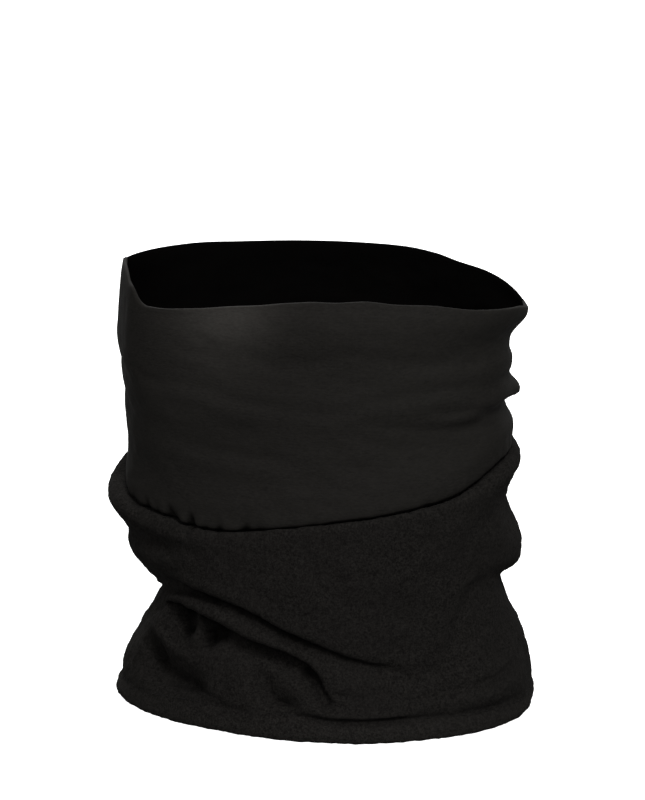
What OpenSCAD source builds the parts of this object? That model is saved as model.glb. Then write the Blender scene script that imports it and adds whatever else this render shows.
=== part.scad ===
// Two-fabric neck gaiter: a doubled stretch-jersey collar sewn to a fleece tube.
// The tube stands on its hem, slightly oval, with the slack fleece buckled into one fold.
// Millimetres. +X right, +Y to the back, +Z up. Origin: centre of the hem ring, on the ground.

/* [Overall] */
// Height of the fabric from the ground to the folded rim
rim_z = 193; // [185:1:205]
// Depth of the tube divided by its width
depth_ratio = 0.77; // [0.7:0.01:0.95]
// Facets round the tube, not counting the side seam
tube_facets = 48; // [36:2:60]

/* [Fleece] */
// Half width of the tube at the hem
hem_half_w = 94; // [90:0.5:98]
// Half width where the lower fleece tucks under the fold
tuck_half_w = 74; // [70:0.5:75]
// Half width of the lip of the fold
lip_half_w = 83.5; // [83:0.5:86]
// Half width of the fullest part under the join
bulge_half_w = 89.7; // [88:0.1:92]
// Thickness of one layer of fleece
fleece_t = 2.6; // [2:0.1:2.8]
// Height of the tucked edge inside the fold
tuck_top_z = 88; // [86:1:90]
// Height of the lip of the fold
lip_z = 54; // [52:1:58]

/* [Collar] */
// Half width of the jersey at its narrowest
collar_half_w = 85.2; // [83:0.1:87]
// Half width of the jersey just under the rim
rim_half_w = 90.3; // [88:0.1:92]
// Thickness of one layer of jersey
jersey_t = 0.9; // [0.7:0.1:1]
// How far the rim sinks at the right
rim_drop = 9; // [0:1:12]
// How far the rim rises at the left
rim_peak = 4; // [0:1:6]

/* [Join] */
// Mean height of the join between jersey and fleece
join_z = 112; // [110:1:114]
// How much the join rises to the right
join_tilt_x = 10; // [0:1:12]
// How much the join rises to the back
join_tilt_y = 12; // [0:1:14]
// Width of the turned-in seam allowance
allowance = 6; // [5:0.5:6.5]

/* [Stitching] */
// Thread diameter
thread_d = 0.45; // [0.3:0.05:0.5]
// Stitches in one row round the tube
stitch_count = 132; // [100:2:150]
// Overlock loops round the join
overlock_count = 96; // [72:2:110]
// Height of the hem stitching
hem_stitch_z = 9; // [8.5:0.5:9.5]
// Depth of the turned-up hem
hem_turn = 16; // [15:0.5:18]

/* [Care label] */
// Width of the label from its sewn edge
label_w = 26; // [20:1:28]
// Height of the label
label_h = 30; // [20:1:32]
// Height of the middle of the label
label_z = 37; // [36:1:39]

/* [Hidden] */

fleece_colour = "#2a2927";
jersey_colour = "#34322f";
thread_colour = "#191918";
label_colour = "#d8d6d0";

seam_angle = 90;      // the side seam runs up the back
seam_margin = 6;      // degrees each side of the seam left clear of the even facets
rib_h = 3.4;          // how far the side seam stands inside the tube
rib_half_w = 3.2;     // half its width

roll_w = bulge_half_w - 3.2;    // half width where both fabrics roll in at the join
flange = allowance + 2;         // depth of the seam allowance's edge from the outer face
fleece_edge = 0.4;              // turned-in fleece starts this far below join_z
jersey_edge = 2.2;              // turned-in jersey ends this far above join_z

layer_gap = 0.8;                        // air between the two jersey layers
collar_t = 2 * jersey_t + layer_gap;    // both layers and the air
rim_w = rim_half_w - 1.3;               // half width at the folded rim

hem_stitch_len = 2.6;
join_stitch_len = 2.2;
seam_loop_pitch = 4;
bartack_len = 5;
bartack_pitch = 0.62;

label_t = 1.2;          // both layers of ribbon and the slot between them
label_slot = 0.5;
label_x = 2.6;          // line that the label turns on
label_turn = -5;        // degrees
lean_half_h = 14;       // the label's lean is taken this far above and below its middle
label_stitch_len = 2;
label_stitch_pitch = 3;

// Outlines of the walls: [height, half width]

// Lower fleece: flared hem with the stitched groove, then the tuck
LOWER = [
    [3, hem_half_w], [hem_stitch_z - 1.4, hem_half_w - 0.2], [hem_stitch_z + 1.4, hem_half_w - 0.9],
    [20, hem_half_w - 4], [30, hem_half_w - 8.6], [40, hem_half_w - 14.6],
    [47, hem_half_w - 17.6], [57, tuck_half_w + 0.6], [tuck_top_z - 1, tuck_half_w]];

// Upper fleece: lip of the fold, waist, then the bulge under the join
UPPER = [
    [lip_z + 3, lip_half_w + 2.2], [lip_z + 8, lip_half_w + 4.1], [lip_z + 15, lip_half_w + 4.6],
    [lip_z + 23, lip_half_w + 3.7], [lip_z + 31, lip_half_w + 4.3],
    [join_z - 18, bulge_half_w - 0.6], [join_z - 11, bulge_half_w],
    [join_z - 6, bulge_half_w - 1.2], [join_z - 2.6, bulge_half_w - 3]];

// Jersey, from the join to the rim
JERSEY = [
    [join_z + 2.4, roll_w - 0.6], [join_z + 7, collar_half_w + 0.2], [join_z + 18, collar_half_w],
    [join_z + 30, collar_half_w + 1.8], [join_z + 43, collar_half_w + 1.2],
    [join_z + 57, rim_half_w - 1.3], [rim_z - 14, rim_half_w], [rim_z - 2, rim_half_w - 1.2]];

// Angles round the tube, with a fine run across the side seam
ANGLES = concat(
    [for (i = [0 : tube_facets - 1])
        seam_angle + seam_margin - 360 + i * (360 - 2 * seam_margin) / (tube_facets - 1)],
    [for (step = [-3.4, -2.3, -1.1, 0, 1.1, 2.3, 3.4]) seam_angle + step]);

function lower_w(z) = lookup(z, LOWER);
hem_stitch_w = lower_w(hem_stitch_z);

// Eases from 0 at start to 1 at end
function ramp(x, start, end) =
    let (share = max(0, min(1, (x - start) / (end - start))))
    share * share * (3 - 2 * share);

// Smallest turn between two angles
function turn(angle, centre) = abs(((angle - centre) % 360 + 540) % 360 - 180);
function bell(angle, centre, width) = exp(-pow(turn(angle, centre) / width, 2));

// The join lies in a tilted plane. The tilt dies away above and below it.
function join_lift(angle, z) =
    (join_tilt_x * cos(angle) + join_tilt_y * sin(angle)) * ramp(z, 62, 104) * (1 - ramp(z, 122, 184));

// The rim sags at the right and peaks at the left. Both die away downwards.
function rim_lift(angle, z) =
    (-rim_drop * bell(angle, -5, 48) + rim_peak * bell(angle, 178, 22)) * ramp(z, 135, 185);

// One point of an oval ring, "off" outwards from the outer face.
// "warp" adds the join and rim lifts; "rib" is the share of the side seam's rib.
function wall_point(angle, half_w, z, off, warp, rib = 0) =
    let (rib_in = rib * rib_h * (1 - ramp(turn(angle, seam_angle), 0.9, 2.8)),
         lift = warp ? join_lift(angle, z) + rim_lift(angle, z) : 0)
    [(half_w + off) * cos(angle), (depth_ratio * half_w + off - rib_in) * sin(angle), z + lift];

// Direction that the wall faces
function facing(angle, half_w) = atan2(sin(angle) / (depth_ratio * half_w), cos(angle) / half_w);

// Section point from an outline point
function station(point, off, rib = 0) = [point[1], point[0], off, rib];

// Sweeps a closed section round the oval. Section: [half width, height, offset, rib share]
module oval_sweep(section, warp) {
    n = len(section);
    rings = len(ANGLES);
    polyhedron(
        points = [for (angle = ANGLES) for (s = section)
            wall_point(angle, s[0], s[1], s[2], warp, s[3])],
        faces = [for (i = [0 : rings - 1]) for (j = [0 : n - 1]) for (k = [0, 1])
            let (i2 = (i + 1) % rings, j2 = (j + 1) % n)
            k == 0 ? [i * n + j, i * n + j2, i2 * n + j2]
                   : [i * n + j, i2 * n + j2, i2 * n + j]],
        convexity = 12);
}

module fleece_lower() {
    last = len(LOWER) - 1;
    hem_inner = -2 * fleece_t;
    section = concat(
        // outer face, with the groove of the hem stitching
        [[hem_half_w, 0, -1.2, 0],
         [hem_half_w, 1.1, -0.2, 0],
         station(LOWER[0], 0),
         station(LOWER[1], 0),
         [hem_stitch_w, hem_stitch_z, -1.1, 0]],
        [for (i = [2 : last]) station(LOWER[i], 0)],
        // tucked edge, then down the inner face
        [[tuck_half_w, tuck_top_z, -fleece_t / 2, 0.5]],
        [for (i = [last : -1 : 3]) station(LOWER[i], -fleece_t, 1)],
        // turned-up hem, two layers thick
        [[lower_w(hem_turn + 1), hem_turn + 1, -fleece_t, 1],
         [lower_w(hem_turn), hem_turn - 0.2, hem_inner + 0.5, 0.6],
         [lower_w(hem_stitch_z + 1), hem_stitch_z + 1.2, hem_inner, 0.4],
         [hem_stitch_w, hem_stitch_z, hem_inner + 0.5, 0.4],
         [hem_half_w, hem_stitch_z - 1.3, hem_inner, 0.4],
         [hem_half_w, 1.1, hem_inner + 0.3, 0.2],
         [hem_half_w, 0, hem_inner + 1.2, 0]]);
    color(fleece_colour) oval_sweep(section, false);
}

module fleece_upper() {
    last = len(UPPER) - 1;
    flange_z = join_z - fleece_edge;
    // The rib fades out at the lip and thins towards the join
    function rib_share(i) = i < 2 ? 0 : i > last - 3 ? 0.5 : 1;
    section = concat(
        // outer face
        [[lip_half_w, lip_z, -1, 0]],
        [for (point = UPPER) station(point, 0)],
        // seam allowance, turned in
        [[roll_w, join_z - 1, -1, 0],
         [roll_w, flange_z, -2.2, 0],
         [roll_w, flange_z, -flange, 0],
         [roll_w, flange_z - fleece_t, -flange, 0],
         [roll_w, join_z - 0.5 - fleece_t, -fleece_t - 1, 0]],
        // inner face and lip
        [for (i = [last - 1 : -1 : 0]) station(UPPER[i], -fleece_t, rib_share(i))],
        [[lip_half_w, lip_z + 0.4, -fleece_t + 0.3, 0],
         [lip_half_w, lip_z - 0.5, -fleece_t / 2 - 0.3, 0]]);
    color(fleece_colour) oval_sweep(section, true);
}

module jersey_collar() {
    last = len(JERSEY) - 1;
    rim_mid = -collar_t / 2;
    top_z = join_z + jersey_edge;
    function face_up(off) = [for (i = [0 : last]) station(JERSEY[i], off)];
    function face_down(off) = [for (i = [last : -1 : 0]) station(JERSEY[i], off)];
    section = concat(
        // outer layer, outer face
        [[roll_w, join_z, -flange, 0],
         [roll_w, join_z, -2.2, 0],
         [roll_w, join_z + 0.7, -1, 0]],
        face_up(0),
        // over the folded rim and down inside the tube
        [[rim_w, rim_z - 0.6, -0.4, 0],
         [rim_w, rim_z, rim_mid, 0],
         [rim_w, rim_z - 0.6, -collar_t + 0.4, 0]],
        face_down(-collar_t),
        // inner layer's allowance, then back up between the layers
        [[roll_w, top_z, -4, 0],
         [roll_w, top_z, -flange, 0],
         [roll_w, top_z - jersey_t, -flange, 0],
         [roll_w, top_z - jersey_t, -3.4, 0]],
        face_up(-jersey_t - layer_gap),
        [[rim_w, rim_z - 1.3, rim_mid, 0]],
        face_down(-jersey_t),
        [[roll_w, join_z + jersey_t, -2.4, 0],
         [roll_w, join_z + jersey_t, -flange, 0]]);
    color(jersey_colour) oval_sweep(section, true);
}

// Straight length of thread, centred, along Z
module thread(length) {
    cylinder(d = thread_d, h = length, center = true, $fn = 24);
}

// One straight stitch lying along the wall, following its slope
module stitch(angle, half_w, z, off, warp, length) {
    start = wall_point(angle, half_w, z, off, warp);
    ahead = wall_point(angle + 1, half_w, z, off, warp) - start;
    slope = atan2(ahead[2], norm([ahead[0], ahead[1]]));
    translate(start) rotate([0, 0, facing(angle, half_w)]) rotate([slope, 0, 0])
        rotate([90, 0, 0]) thread(length);
}

// Stitches evenly round the tube, left out within "skip" degrees of the side seam
module stitch_row(half_w, z, off, warp, length, skip = -1) {
    for (i = [0 : stitch_count - 1]) {
        angle = i * 360 / stitch_count;
        if (turn(angle, seam_angle) > skip)
            stitch(angle, half_w, z, off, warp, length);
    }
}

module hem_needle_thread() {
    color(thread_colour)
        stitch_row(hem_stitch_w, hem_stitch_z, -0.45, false, hem_stitch_len);
}

module hem_bobbin_thread() {
    // Skips the side seam, where the hem is bulkier
    color(thread_colour)
        stitch_row(hem_stitch_w, hem_stitch_z, -2 * fleece_t - 0.2, false, hem_stitch_len, skip = 5);
}

module join_needle_thread() {
    color(thread_colour)
        stitch_row(roll_w, join_z - 0.2, -1.55, true, join_stitch_len);
}

// One overlock loop: a U in the XZ plane, open towards +X
module overlock_loop(reach, height) {
    inner = height / 2;
    outer = inner + thread_d;
    rotate([90, 0, 0]) translate([0, 0, -thread_d / 2]) linear_extrude(thread_d)
        polygon([[0, -outer], [reach, -outer], [reach, -inner], [thread_d, -inner],
                 [thread_d, inner], [reach, inner], [reach, outer], [0, outer]]);
}

module join_overlock_thread() {
    // Round the turned-in edges of the fleece and both layers of the jersey
    below = fleece_t + fleece_edge;
    color(thread_colour) for (i = [0 : overlock_count - 1]) {
        angle = (i + 0.5) * 360 / overlock_count;
        translate(wall_point(angle, roll_w, join_z, -flange - 0.85, true)
                  + [0, 0, (jersey_edge - below) / 2])
            rotate([0, 0, facing(angle, roll_w)])
                overlock_loop(reach = 4.4, height = below + jersey_edge + 1.1);
    }
}

// Overlock loops up the side seam, lying round the rib at the back of the tube
module seam_loops(bottom_z, top_z, outline, warp) {
    for (z = [bottom_z : seam_loop_pitch : top_z])
        translate(wall_point(seam_angle, lookup(z, outline), z, -fleece_t - rib_h - 0.75, warp))
            rotate([0, 0, seam_angle]) rotate([90, 0, 0])
                overlock_loop(reach = 2.2, height = 2 * rib_half_w + 0.8);
}

module side_seam_thread_lower() {
    color(thread_colour) seam_loops(20, tuck_top_z - 6, LOWER, false);
}

module side_seam_thread_upper() {
    color(thread_colour) seam_loops(lip_z + 15, join_z - 20, UPPER, true);
}

// A short row of close stitches across the side seam that locks its end
module bartack(half_w, z, off, warp) {
    translate(wall_point(seam_angle, half_w, z, off, warp))
        rotate([0, 0, facing(seam_angle, half_w)])
            for (i = [-4 : 4]) translate([0, 0, i * bartack_pitch])
                rotate([90, 0, 0]) thread(bartack_len);
}

module hem_bartack() {
    color(thread_colour) bartack(hem_half_w, 5, 0.32, false);
}

module join_bartack() {
    color(thread_colour) bartack(bulge_half_w, join_z - 8, 0.5, true);
}

// Frame of the care label: on its turning line, leaning with the wall
module on_label() {
    label_y = depth_ratio * lower_w(label_z) - fleece_t - rib_h - 2.4;
    narrowing = lower_w(label_z - lean_half_h) - lower_w(label_z + lean_half_h);
    lean = atan2(depth_ratio * narrowing, 2 * lean_half_h);
    translate([label_x, label_y, label_z]) rotate([lean, 0, 0]) children();
}

// Care label, caught by one edge in the side seam and free to turn like a page
module care_label() {
    color(label_colour) on_label() rotate([0, 0, label_turn]) {
        // two layers of one ribbon, folded at the free edge
        difference() {
            translate([0.4, -label_t / 2, -label_h / 2])
                cube([label_w, label_t, label_h]);
            translate([-1, -label_slot / 2, -label_h / 2 - 1])
                cube([label_w + 0.5, label_slot, label_h + 2]);
        }
    }
}

module label_stitch() {
    // Behind the line that the label turns on, so the label swings clear of it
    color(thread_colour) on_label()
        for (i = [-4 : 4]) translate([0, 1.1, i * label_stitch_pitch])
            thread(label_stitch_len);
}

fleece_lower();
hem_needle_thread();
hem_bobbin_thread();
side_seam_thread_lower();
hem_bartack();
label_stitch();
fleece_upper();
jersey_collar();
join_needle_thread();
join_overlock_thread();
side_seam_thread_upper();
join_bartack();
care_label();
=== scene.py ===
"""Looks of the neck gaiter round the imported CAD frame: an upright fleece tube with two folds, a
doubled jersey collar on top, stitching, and a care label inside the back wall.

The axis is +Z and the hem stands on the floor. Angles run from the right (+X): 0 right, 90 back
(+Y), 180 left, 270 front (-Y). Shapes are in millimetres and degrees; meshes, materials, lights
and the camera are in metres.
"""
import math

import bpy
import numpy as np
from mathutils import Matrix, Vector


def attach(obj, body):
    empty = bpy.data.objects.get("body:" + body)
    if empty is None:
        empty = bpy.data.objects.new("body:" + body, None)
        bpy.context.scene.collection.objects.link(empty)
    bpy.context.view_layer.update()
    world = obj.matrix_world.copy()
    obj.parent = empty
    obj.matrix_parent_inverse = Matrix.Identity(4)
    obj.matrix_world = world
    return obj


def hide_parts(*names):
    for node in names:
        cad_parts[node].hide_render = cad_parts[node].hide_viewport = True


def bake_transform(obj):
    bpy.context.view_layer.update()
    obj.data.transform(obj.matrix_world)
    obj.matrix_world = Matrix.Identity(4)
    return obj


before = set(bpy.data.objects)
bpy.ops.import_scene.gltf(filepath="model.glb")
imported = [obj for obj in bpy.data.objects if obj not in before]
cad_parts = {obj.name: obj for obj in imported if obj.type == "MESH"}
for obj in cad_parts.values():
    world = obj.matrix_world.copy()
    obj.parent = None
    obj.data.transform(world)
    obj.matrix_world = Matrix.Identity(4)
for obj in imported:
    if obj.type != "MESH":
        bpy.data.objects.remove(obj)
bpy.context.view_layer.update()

MM = 0.001
DEPTH = 0.77        # depth of the tube over its width
SEAM = 90.0         # angle of the vertical seam, at the back
SEAM_RIB = 3.2      # how far the seam's allowance stands inside the tube
FLEECE_T = 2.6      # thickness of the fleece
FACE_GAP = 1.1      # least distance between the fleece's two faces
FLANGE = 7.5        # depth of the join's seam allowance inside the tube
LIP = 4.4           # height of the lip of a cloth fold
SKEW = 0.15         # how far the oval turns at the top
SKEW_LIFT = 0.2867  # rise over the shift that the turn causes


# ---------------------------------------------------------------- numbers
def smooth(x, low=0.0, high=1.0):
    x = np.clip((np.asarray(x, float) - low) / (high - low), 0, 1)
    return x * x * (3 - 2 * x)


def turn(angle, centre):
    """Signed angle from centre, in -180..180."""
    return (np.asarray(angle, float) - centre + 180.0) % 360.0 - 180.0


def bell(angle, centre, width):
    return np.exp(-((turn(angle, centre) / width) ** 2))


def plateau(x, width):
    """1 round zero, falling off steeply past width."""
    return np.exp(-((x / width) ** 4))


def pchip(xs, ys, x):
    """Monotone cubic through (xs, ys), held flat past its ends."""
    xs, ys, x = np.asarray(xs, float), np.asarray(ys, float), np.asarray(x, float)
    span = np.diff(xs)
    slope = np.diff(ys) / np.diff(xs)
    tangent = np.zeros_like(ys)
    same = slope[:-1] * slope[1:] > 0
    before, after = 2 * span[1:] + span[:-1], span[1:] + 2 * span[:-1]
    with np.errstate(divide="ignore", invalid="ignore"):
        mean = (before + after) / (before / slope[:-1] + after / slope[1:])
        tangent[1:-1] = np.where(same, mean, 0.0)
    x = np.clip(x, xs[0], xs[-1])
    i = np.clip(np.searchsorted(xs, x, side="right") - 1, 0, len(span) - 1)
    s, step = (x - xs[i]) / span[i], span[i]
    return (
        ys[i] * (2 * s**3 - 3 * s**2 + 1) + step * tangent[i] * (s**3 - 2 * s**2 + s)
        + ys[i + 1] * (3 * s**2 - 2 * s**3) + step * tangent[i + 1] * (s**3 - s**2)
    )


def ring(table):
    """A smooth periodic function of the angle through a table {degrees: value}."""
    points = sorted((angle % 360.0, value) for angle, value in table.items())
    xs = [angle + lap for lap in (-360, 0, 360) for angle, _ in points]
    ys = [value for _, value in points] * 3
    return lambda angle: pchip(xs, ys, np.asarray(angle, float) % 360.0)


def lattice(x, y, z, seed):
    mixed = (x * 374761393 + y * 668265263 + z * 2147483647 + seed * 1274126177) & 0xFFFFFFFF
    mixed = ((mixed ^ (mixed >> 13)) * 1274126177) & 0xFFFFFFFF
    return ((mixed ^ (mixed >> 16)) & 0xFFFF) / 32767.5 - 1.0


def noise(points, size, seed):
    """Smooth value noise in -1..1 at points (..., 3), with cells of the given size."""
    scaled = np.asarray(points, float) / size
    cell = np.floor(scaled).astype(np.int64)
    part = scaled - cell
    part = part * part * part * (part * (part * 6 - 15) + 10)
    out = 0.0
    for corner in np.ndindex(2, 2, 2):
        weight = 1.0
        for k in range(3):
            weight = weight * (part[..., k] if corner[k] else 1 - part[..., k])
        out = out + weight * lattice(*(cell[..., k] + corner[k] for k in range(3)), seed)
    return out


# ---------------------------------------------------------------- lines round the tube
# Tables {angle: height} of the lines, from the hem's groove up to the rim
Z_DITCH = ring({
    180: 8.6, 208: 9.4, 219: 10.8, 229: 11.8, 238: 11.6, 247: 11.4, 254: 11.8, 261: 11.6,
    266: 10.6, 272: 9.7, 280: 9.4, 290: 9.6, 306: 9.1, 317: 8.9, 326: 8.2, 336: 7, 345: 7,
    0: 7.4, 90: 9})
Z_FOLD_B = ring({
    180: 36.5, 200: 46, 206: 49.5, 213: 52.6, 220: 54.2, 224.5: 54.2, 229: 53.2, 233: 52.2,
    238: 50, 243: 46.6, 248: 43.6, 253: 41.8, 258.7: 39.4, 263.6: 36.2, 266.6: 32.2, 268.8: 27,
    271.2: 21.5, 275: 17.5, 285: 16.5, 300: 17, 320: 21, 0: 31, 90: 33})
Z_FOLD_A = ring({
    180: 50, 193: 53.2, 206: 56.6, 215: 58.8, 223: 60.2, 231: 60.1, 238: 58.8, 245: 55.7,
    251: 52, 257: 47.5, 262.7: 43.9, 270: 39.9, 277.3: 35.7, 286.3: 31.5, 296: 28.5, 302: 31,
    307: 42, 312: 56, 317: 63, 323: 64.5, 332: 63, 343: 60, 354: 57, 8: 56, 45: 54, 90: 54,
    135: 52})
Z_JOIN = ring({
    187: 99, 196: 96.4, 206: 93.8, 214: 92.6, 220: 91.8, 224.5: 90.4, 228.5: 90.1, 234.5: 89.8,
    241: 90.4, 251: 92.5, 263: 94.9, 274: 97.3, 285: 99, 298: 101.4, 308: 103.4, 318: 107,
    326: 110.6, 336: 112.8, 350: 113.6, 0: 114.5, 45: 121.5, 90: 123, 135: 117, 160: 106.5,
    180: 100.4})
Z_RIM = ring({
    180: 200, 190: 199.4, 197: 197.9, 203: 195.4, 207: 194.2, 209.5: 192.2, 212.6: 188.9,
    215.5: 187.5, 220: 187.4, 228: 188.1, 234: 188.9, 241: 190.2, 251: 191.7, 259: 193.3,
    267: 194.1, 273: 193.8, 280: 194.1, 290: 192, 301: 190.2, 307: 188.4, 314: 186.3,
    322: 184.7, 332: 183, 342: 181.4, 352: 178.8, 3: 177, 11: 178, 18: 179.9, 25.6: 182.2,
    35: 184.5, 46: 186.4, 55: 189.2, 65: 191.1, 78: 192, 97: 193.1, 115: 194.1, 130: 195.7,
    145: 196.6, 162: 197.6, 173: 198.6})

# Depth of the hem's groove
DITCH_DEEP = ring({
    160: 1.2, 180: 0.7, 205: 0.9, 228: 1.1, 237.5: 2.9, 243: 1.2, 251: 1.3, 259: 3.0, 266: 4.0,
    288: 4.2, 297: 2.9, 307: 1.9, 320: 1.5, 335: 1.0, 350: 0.5, 0: 0.5, 20: 1.2, 90: 1.7})
# How far folds A (upper) and B (lower) are shut: 0 flat, 1 fully folded
SHUT_A = ring({
    180: 0.2, 195: 0.16, 207: 0.1, 215: 0.12, 222: 0.28, 230: 0.46, 242: 0.52, 260: 0.5,
    275: 0.42, 286: 0.28, 296: 0.08, 303: 0, 314: 0.02, 324: 0.0, 334: 0.03, 348: 0.14, 0: 0.2,
    25: 0.3, 60: 0.25, 90: 0.16, 130: 0.3, 160: 0.3})
SHUT_B = ring({
    196: 0, 206: 0.35, 214: 0.8, 226: 1, 238: 1, 246: 0.8, 253: 0.72, 260: 0.68, 264: 0.56,
    267.5: 0.36, 270: 0.14, 272.5: 0, 330: 0, 90: 0})
# How far the join gapes
OPEN = ring({
    180: 0.8, 200: 1, 212: 0.75, 222: 0.35, 240: 0.25, 262: 0.2, 285: 0.3, 300: 0.6, 318: 1,
    335: 1, 0: 0.7, 90: 0.6})
# Depths of the short nicks along the join
NICKS = {195: 0.6, 201.5: 0.7, 208.6: 2.0, 213.5: 0.5, 218.6: 3.4, 221.2: 1.6, 227.2: 3.8,
         233: 0.7, 237.6: 1.7, 246.4: 1.9, 251: 0.6, 300: 0.3}
# Widening of the hem's ring: fuller at its front right corner, flatter at its front left
PLAN = ring({
    0: 1.0, 20: 0.985, 60: 0.97, 90: 0.985, 125: 1.025, 160: 1.01, 189: 0.998, 201: 0.984,
    217: 0.956, 233: 0.944, 246: 0.955, 258: 0.984, 269: 1.016, 279: 1.042, 289: 1.059,
    299: 1.07, 311: 1.088, 318: 1.088, 326: 1.078, 332: 1.062, 337: 1.044, 346: 1.016})


def nick(angle):
    return sum(depth * bell(angle, centre, 1.5) for centre, depth in NICKS.items())


# ---------------------------------------------------------------- half widths of the tube
def landmark(z, angle):
    """0 at the hem, 1 at fold A, 2 at the join, 3 at the rim."""
    fold, join, rim = Z_FOLD_A(angle), Z_JOIN(angle), Z_RIM(angle)
    above = np.where(z < join, 1 + (z - fold) / (join - fold), 2 + (z - join) / (rim - join))
    return np.where(z < fold, z / fold, above)


def by_landmark(table, angle):
    heights = np.array(list(table), float)
    return landmark(heights, np.full_like(heights, angle)), np.array(list(table.values()), float)


def four_sides(right, back, left, front):
    """Tables {height: half width} of the four sides, with heights turned into landmarks."""
    return [by_landmark(table, 90.0 * i) for i, table in enumerate((right, back, left, front))]


FLEECE_SIDES = four_sides(
    right={
        0: 93.1, 1.5: 93.5, 6: 93.6, 11: 92.9, 16: 91.8, 21: 90.6, 25.5: 89.2, 30: 88, 35: 86,
        40: 83.6, 44.5: 81.2, 49.5: 79.8, 53: 79, 56: 79, 59: 81.2, 62: 84.6, 66: 87.8,
        73: 87.6, 77: 86.2, 82: 83.8, 87: 81.2, 91: 79, 96: 78, 101: 82.2, 105: 85.6,
        110: 86.2, 117: 82.2},
    back={
        0: 94, 6: 93.6, 14: 91.6, 24: 88.2, 34: 85.4, 44: 83, 54: 82.2, 63: 84.2, 74: 87,
        88: 88.6, 104: 89, 115: 88.4, 123: 87.2},
    left={
        0: 93.3, 1.5: 93.7, 6: 92.5, 11: 91.1, 16: 89.4, 21: 87.5, 25.5: 85.3, 30: 83.1,
        35: 80.8, 40: 78, 44.5: 75.6, 48: 74, 51: 76.2, 54: 75.6, 59: 80, 63: 84.2, 68: 87.8,
        73: 88.4, 77: 86.8, 82: 88.4, 87: 93.8, 91: 96.6, 96: 96.8, 100.6: 94},
    front={
        0: 94, 6: 93.8, 12: 92.6, 20: 90, 28: 87.6, 34: 86, 39: 85.4, 46: 86.2, 55: 87.2,
        66: 87.8, 78: 88, 88: 88.2, 98: 87.4})
JERSEY_SIDES = four_sides(
    right={
        117: 82.6, 120: 82.4, 124: 82.8, 128: 81.6, 133: 79, 136.5: 77.2, 140: 82, 143: 82.4,
        147: 81, 151: 81.4, 156: 82, 160: 81, 164: 80.6, 167: 82.4, 170: 85.4, 173: 88.2,
        176: 89.2},
    back={123: 86.6, 133: 86.2, 150: 87, 165: 88, 180: 88.6, 192: 88.7},
    left={
        100.6: 89, 104: 88.2, 108: 87.6, 115: 87, 119: 87, 124: 87.6, 133: 88.8, 142: 89,
        151: 90, 160: 91, 169: 92.4, 178: 92, 187: 91.2, 193: 90.6, 201: 90},
    front={
        98: 87.4, 103: 87.6, 110: 87, 120: 85.9, 132: 85.8, 142: 86.7, 149: 88, 157: 87.5,
        165: 87.3, 172: 88.5, 178: 89.4, 184: 89.6, 190: 89.2, 195: 88.5})


def half_width(angle, z, sides):
    level = landmark(z, angle)
    cos, sin = np.cos(np.radians(angle)), np.sin(np.radians(angle))
    # the fleece's bulges keep closer to its two ends
    end = np.abs(cos) ** (np.where(cos > 0, 6.5, 3.4) if sides is FLEECE_SIDES else 2.0)
    weights = [end * (cos > 0), (1 - end) * (sin > 0), end * (cos <= 0), (1 - end) * (sin <= 0)]
    width = sum(w * pchip(xs, ys, level) for w, (xs, ys) in zip(weights, sides))
    # the flat left end turns a corner here
    corner = (bell(angle, 214, 15) * smooth(level, 1.9, 2.75) * 0.085
              + bell(angle, 199, 13) * np.exp(-(((level - 2.03) / 0.2) ** 2)) * 0.036)
    return width * (1 + corner + (PLAN(angle) - 1) * (1 - 0.72 * smooth(z, 6, 75)))


def join_width(angle):
    return half_width(angle, Z_JOIN(angle) + 0.5, JERSEY_SIDES)


def place(angle, width, off, z):
    """Points on an oval of the given half width, moved off millimetres outwards, at height z.
    Upwards the oval turns a little: its right end comes forward and its left end goes back."""
    radians = np.radians(angle)
    cos, sin = np.cos(radians), np.sin(radians)
    norm = np.hypot(DEPTH * cos, sin)
    x = width * cos + off * DEPTH * cos / norm
    y = DEPTH * width * sin + off * sin / norm
    z = np.broadcast_to(z, np.shape(angle)).astype(float)
    skew = SKEW * smooth(z, 15, 150)
    return np.stack([x, y - skew * x, z + SKEW_LIFT * skew * x], -1)


def upright(points):
    """Heights of points before place() turned the oval."""
    z = points[..., 2].copy()
    for _ in range(3):
        z = points[..., 2] - SKEW_LIFT * SKEW * smooth(z, 15, 150) * points[..., 0]
    return z


# ---------------------------------------------------------------- sheets
def angles(count, dense=3.0):
    """Angles once round from the seam, packed closer near it by dense."""
    x = np.linspace(0, 360, 7201)
    density = 1.0 + dense * bell(x, 0, 4.0)
    total = np.concatenate([[0], np.cumsum((density[1:] + density[:-1]) / 2)])
    return SEAM + np.interp(np.arange(count) / count, total / total[-1], x)


def loft(rows, steps):
    """Cubic B-spline through control rows, steps points per span, end rows kept."""
    ctrl = np.concatenate([2 * rows[:1] - rows[1:2], rows, 2 * rows[-1:] - rows[-2:-1]])
    out = []
    for i in range(len(ctrl) - 3):
        for s in np.arange(steps) / steps:
            out.append((ctrl[i] * (1 - s) ** 3 + ctrl[i + 1] * (3 * s**3 - 6 * s**2 + 4)
                        + ctrl[i + 2] * (-3 * s**3 + 3 * s**2 + 3 * s + 1)
                        + ctrl[i + 3] * s**3) / 6)
    out.append(rows[-1])
    return np.array(out)


def respace(sheet, count):
    """Each column of the sheet (rows, columns, 3 or more) gets count evenly spaced points."""
    step = np.linalg.norm(np.diff(sheet[..., :3], axis=0), axis=2)
    length = np.concatenate([np.zeros((1, sheet.shape[1])), np.cumsum(step, 0)])
    out = np.empty((count, sheet.shape[1], sheet.shape[2]))
    for j in range(sheet.shape[1]):
        x = np.linspace(0, length[-1, j], count)
        for k in range(sheet.shape[2]):
            out[:, j, k] = np.interp(x, length[:, j], sheet[:, j, k])
    return out


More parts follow.
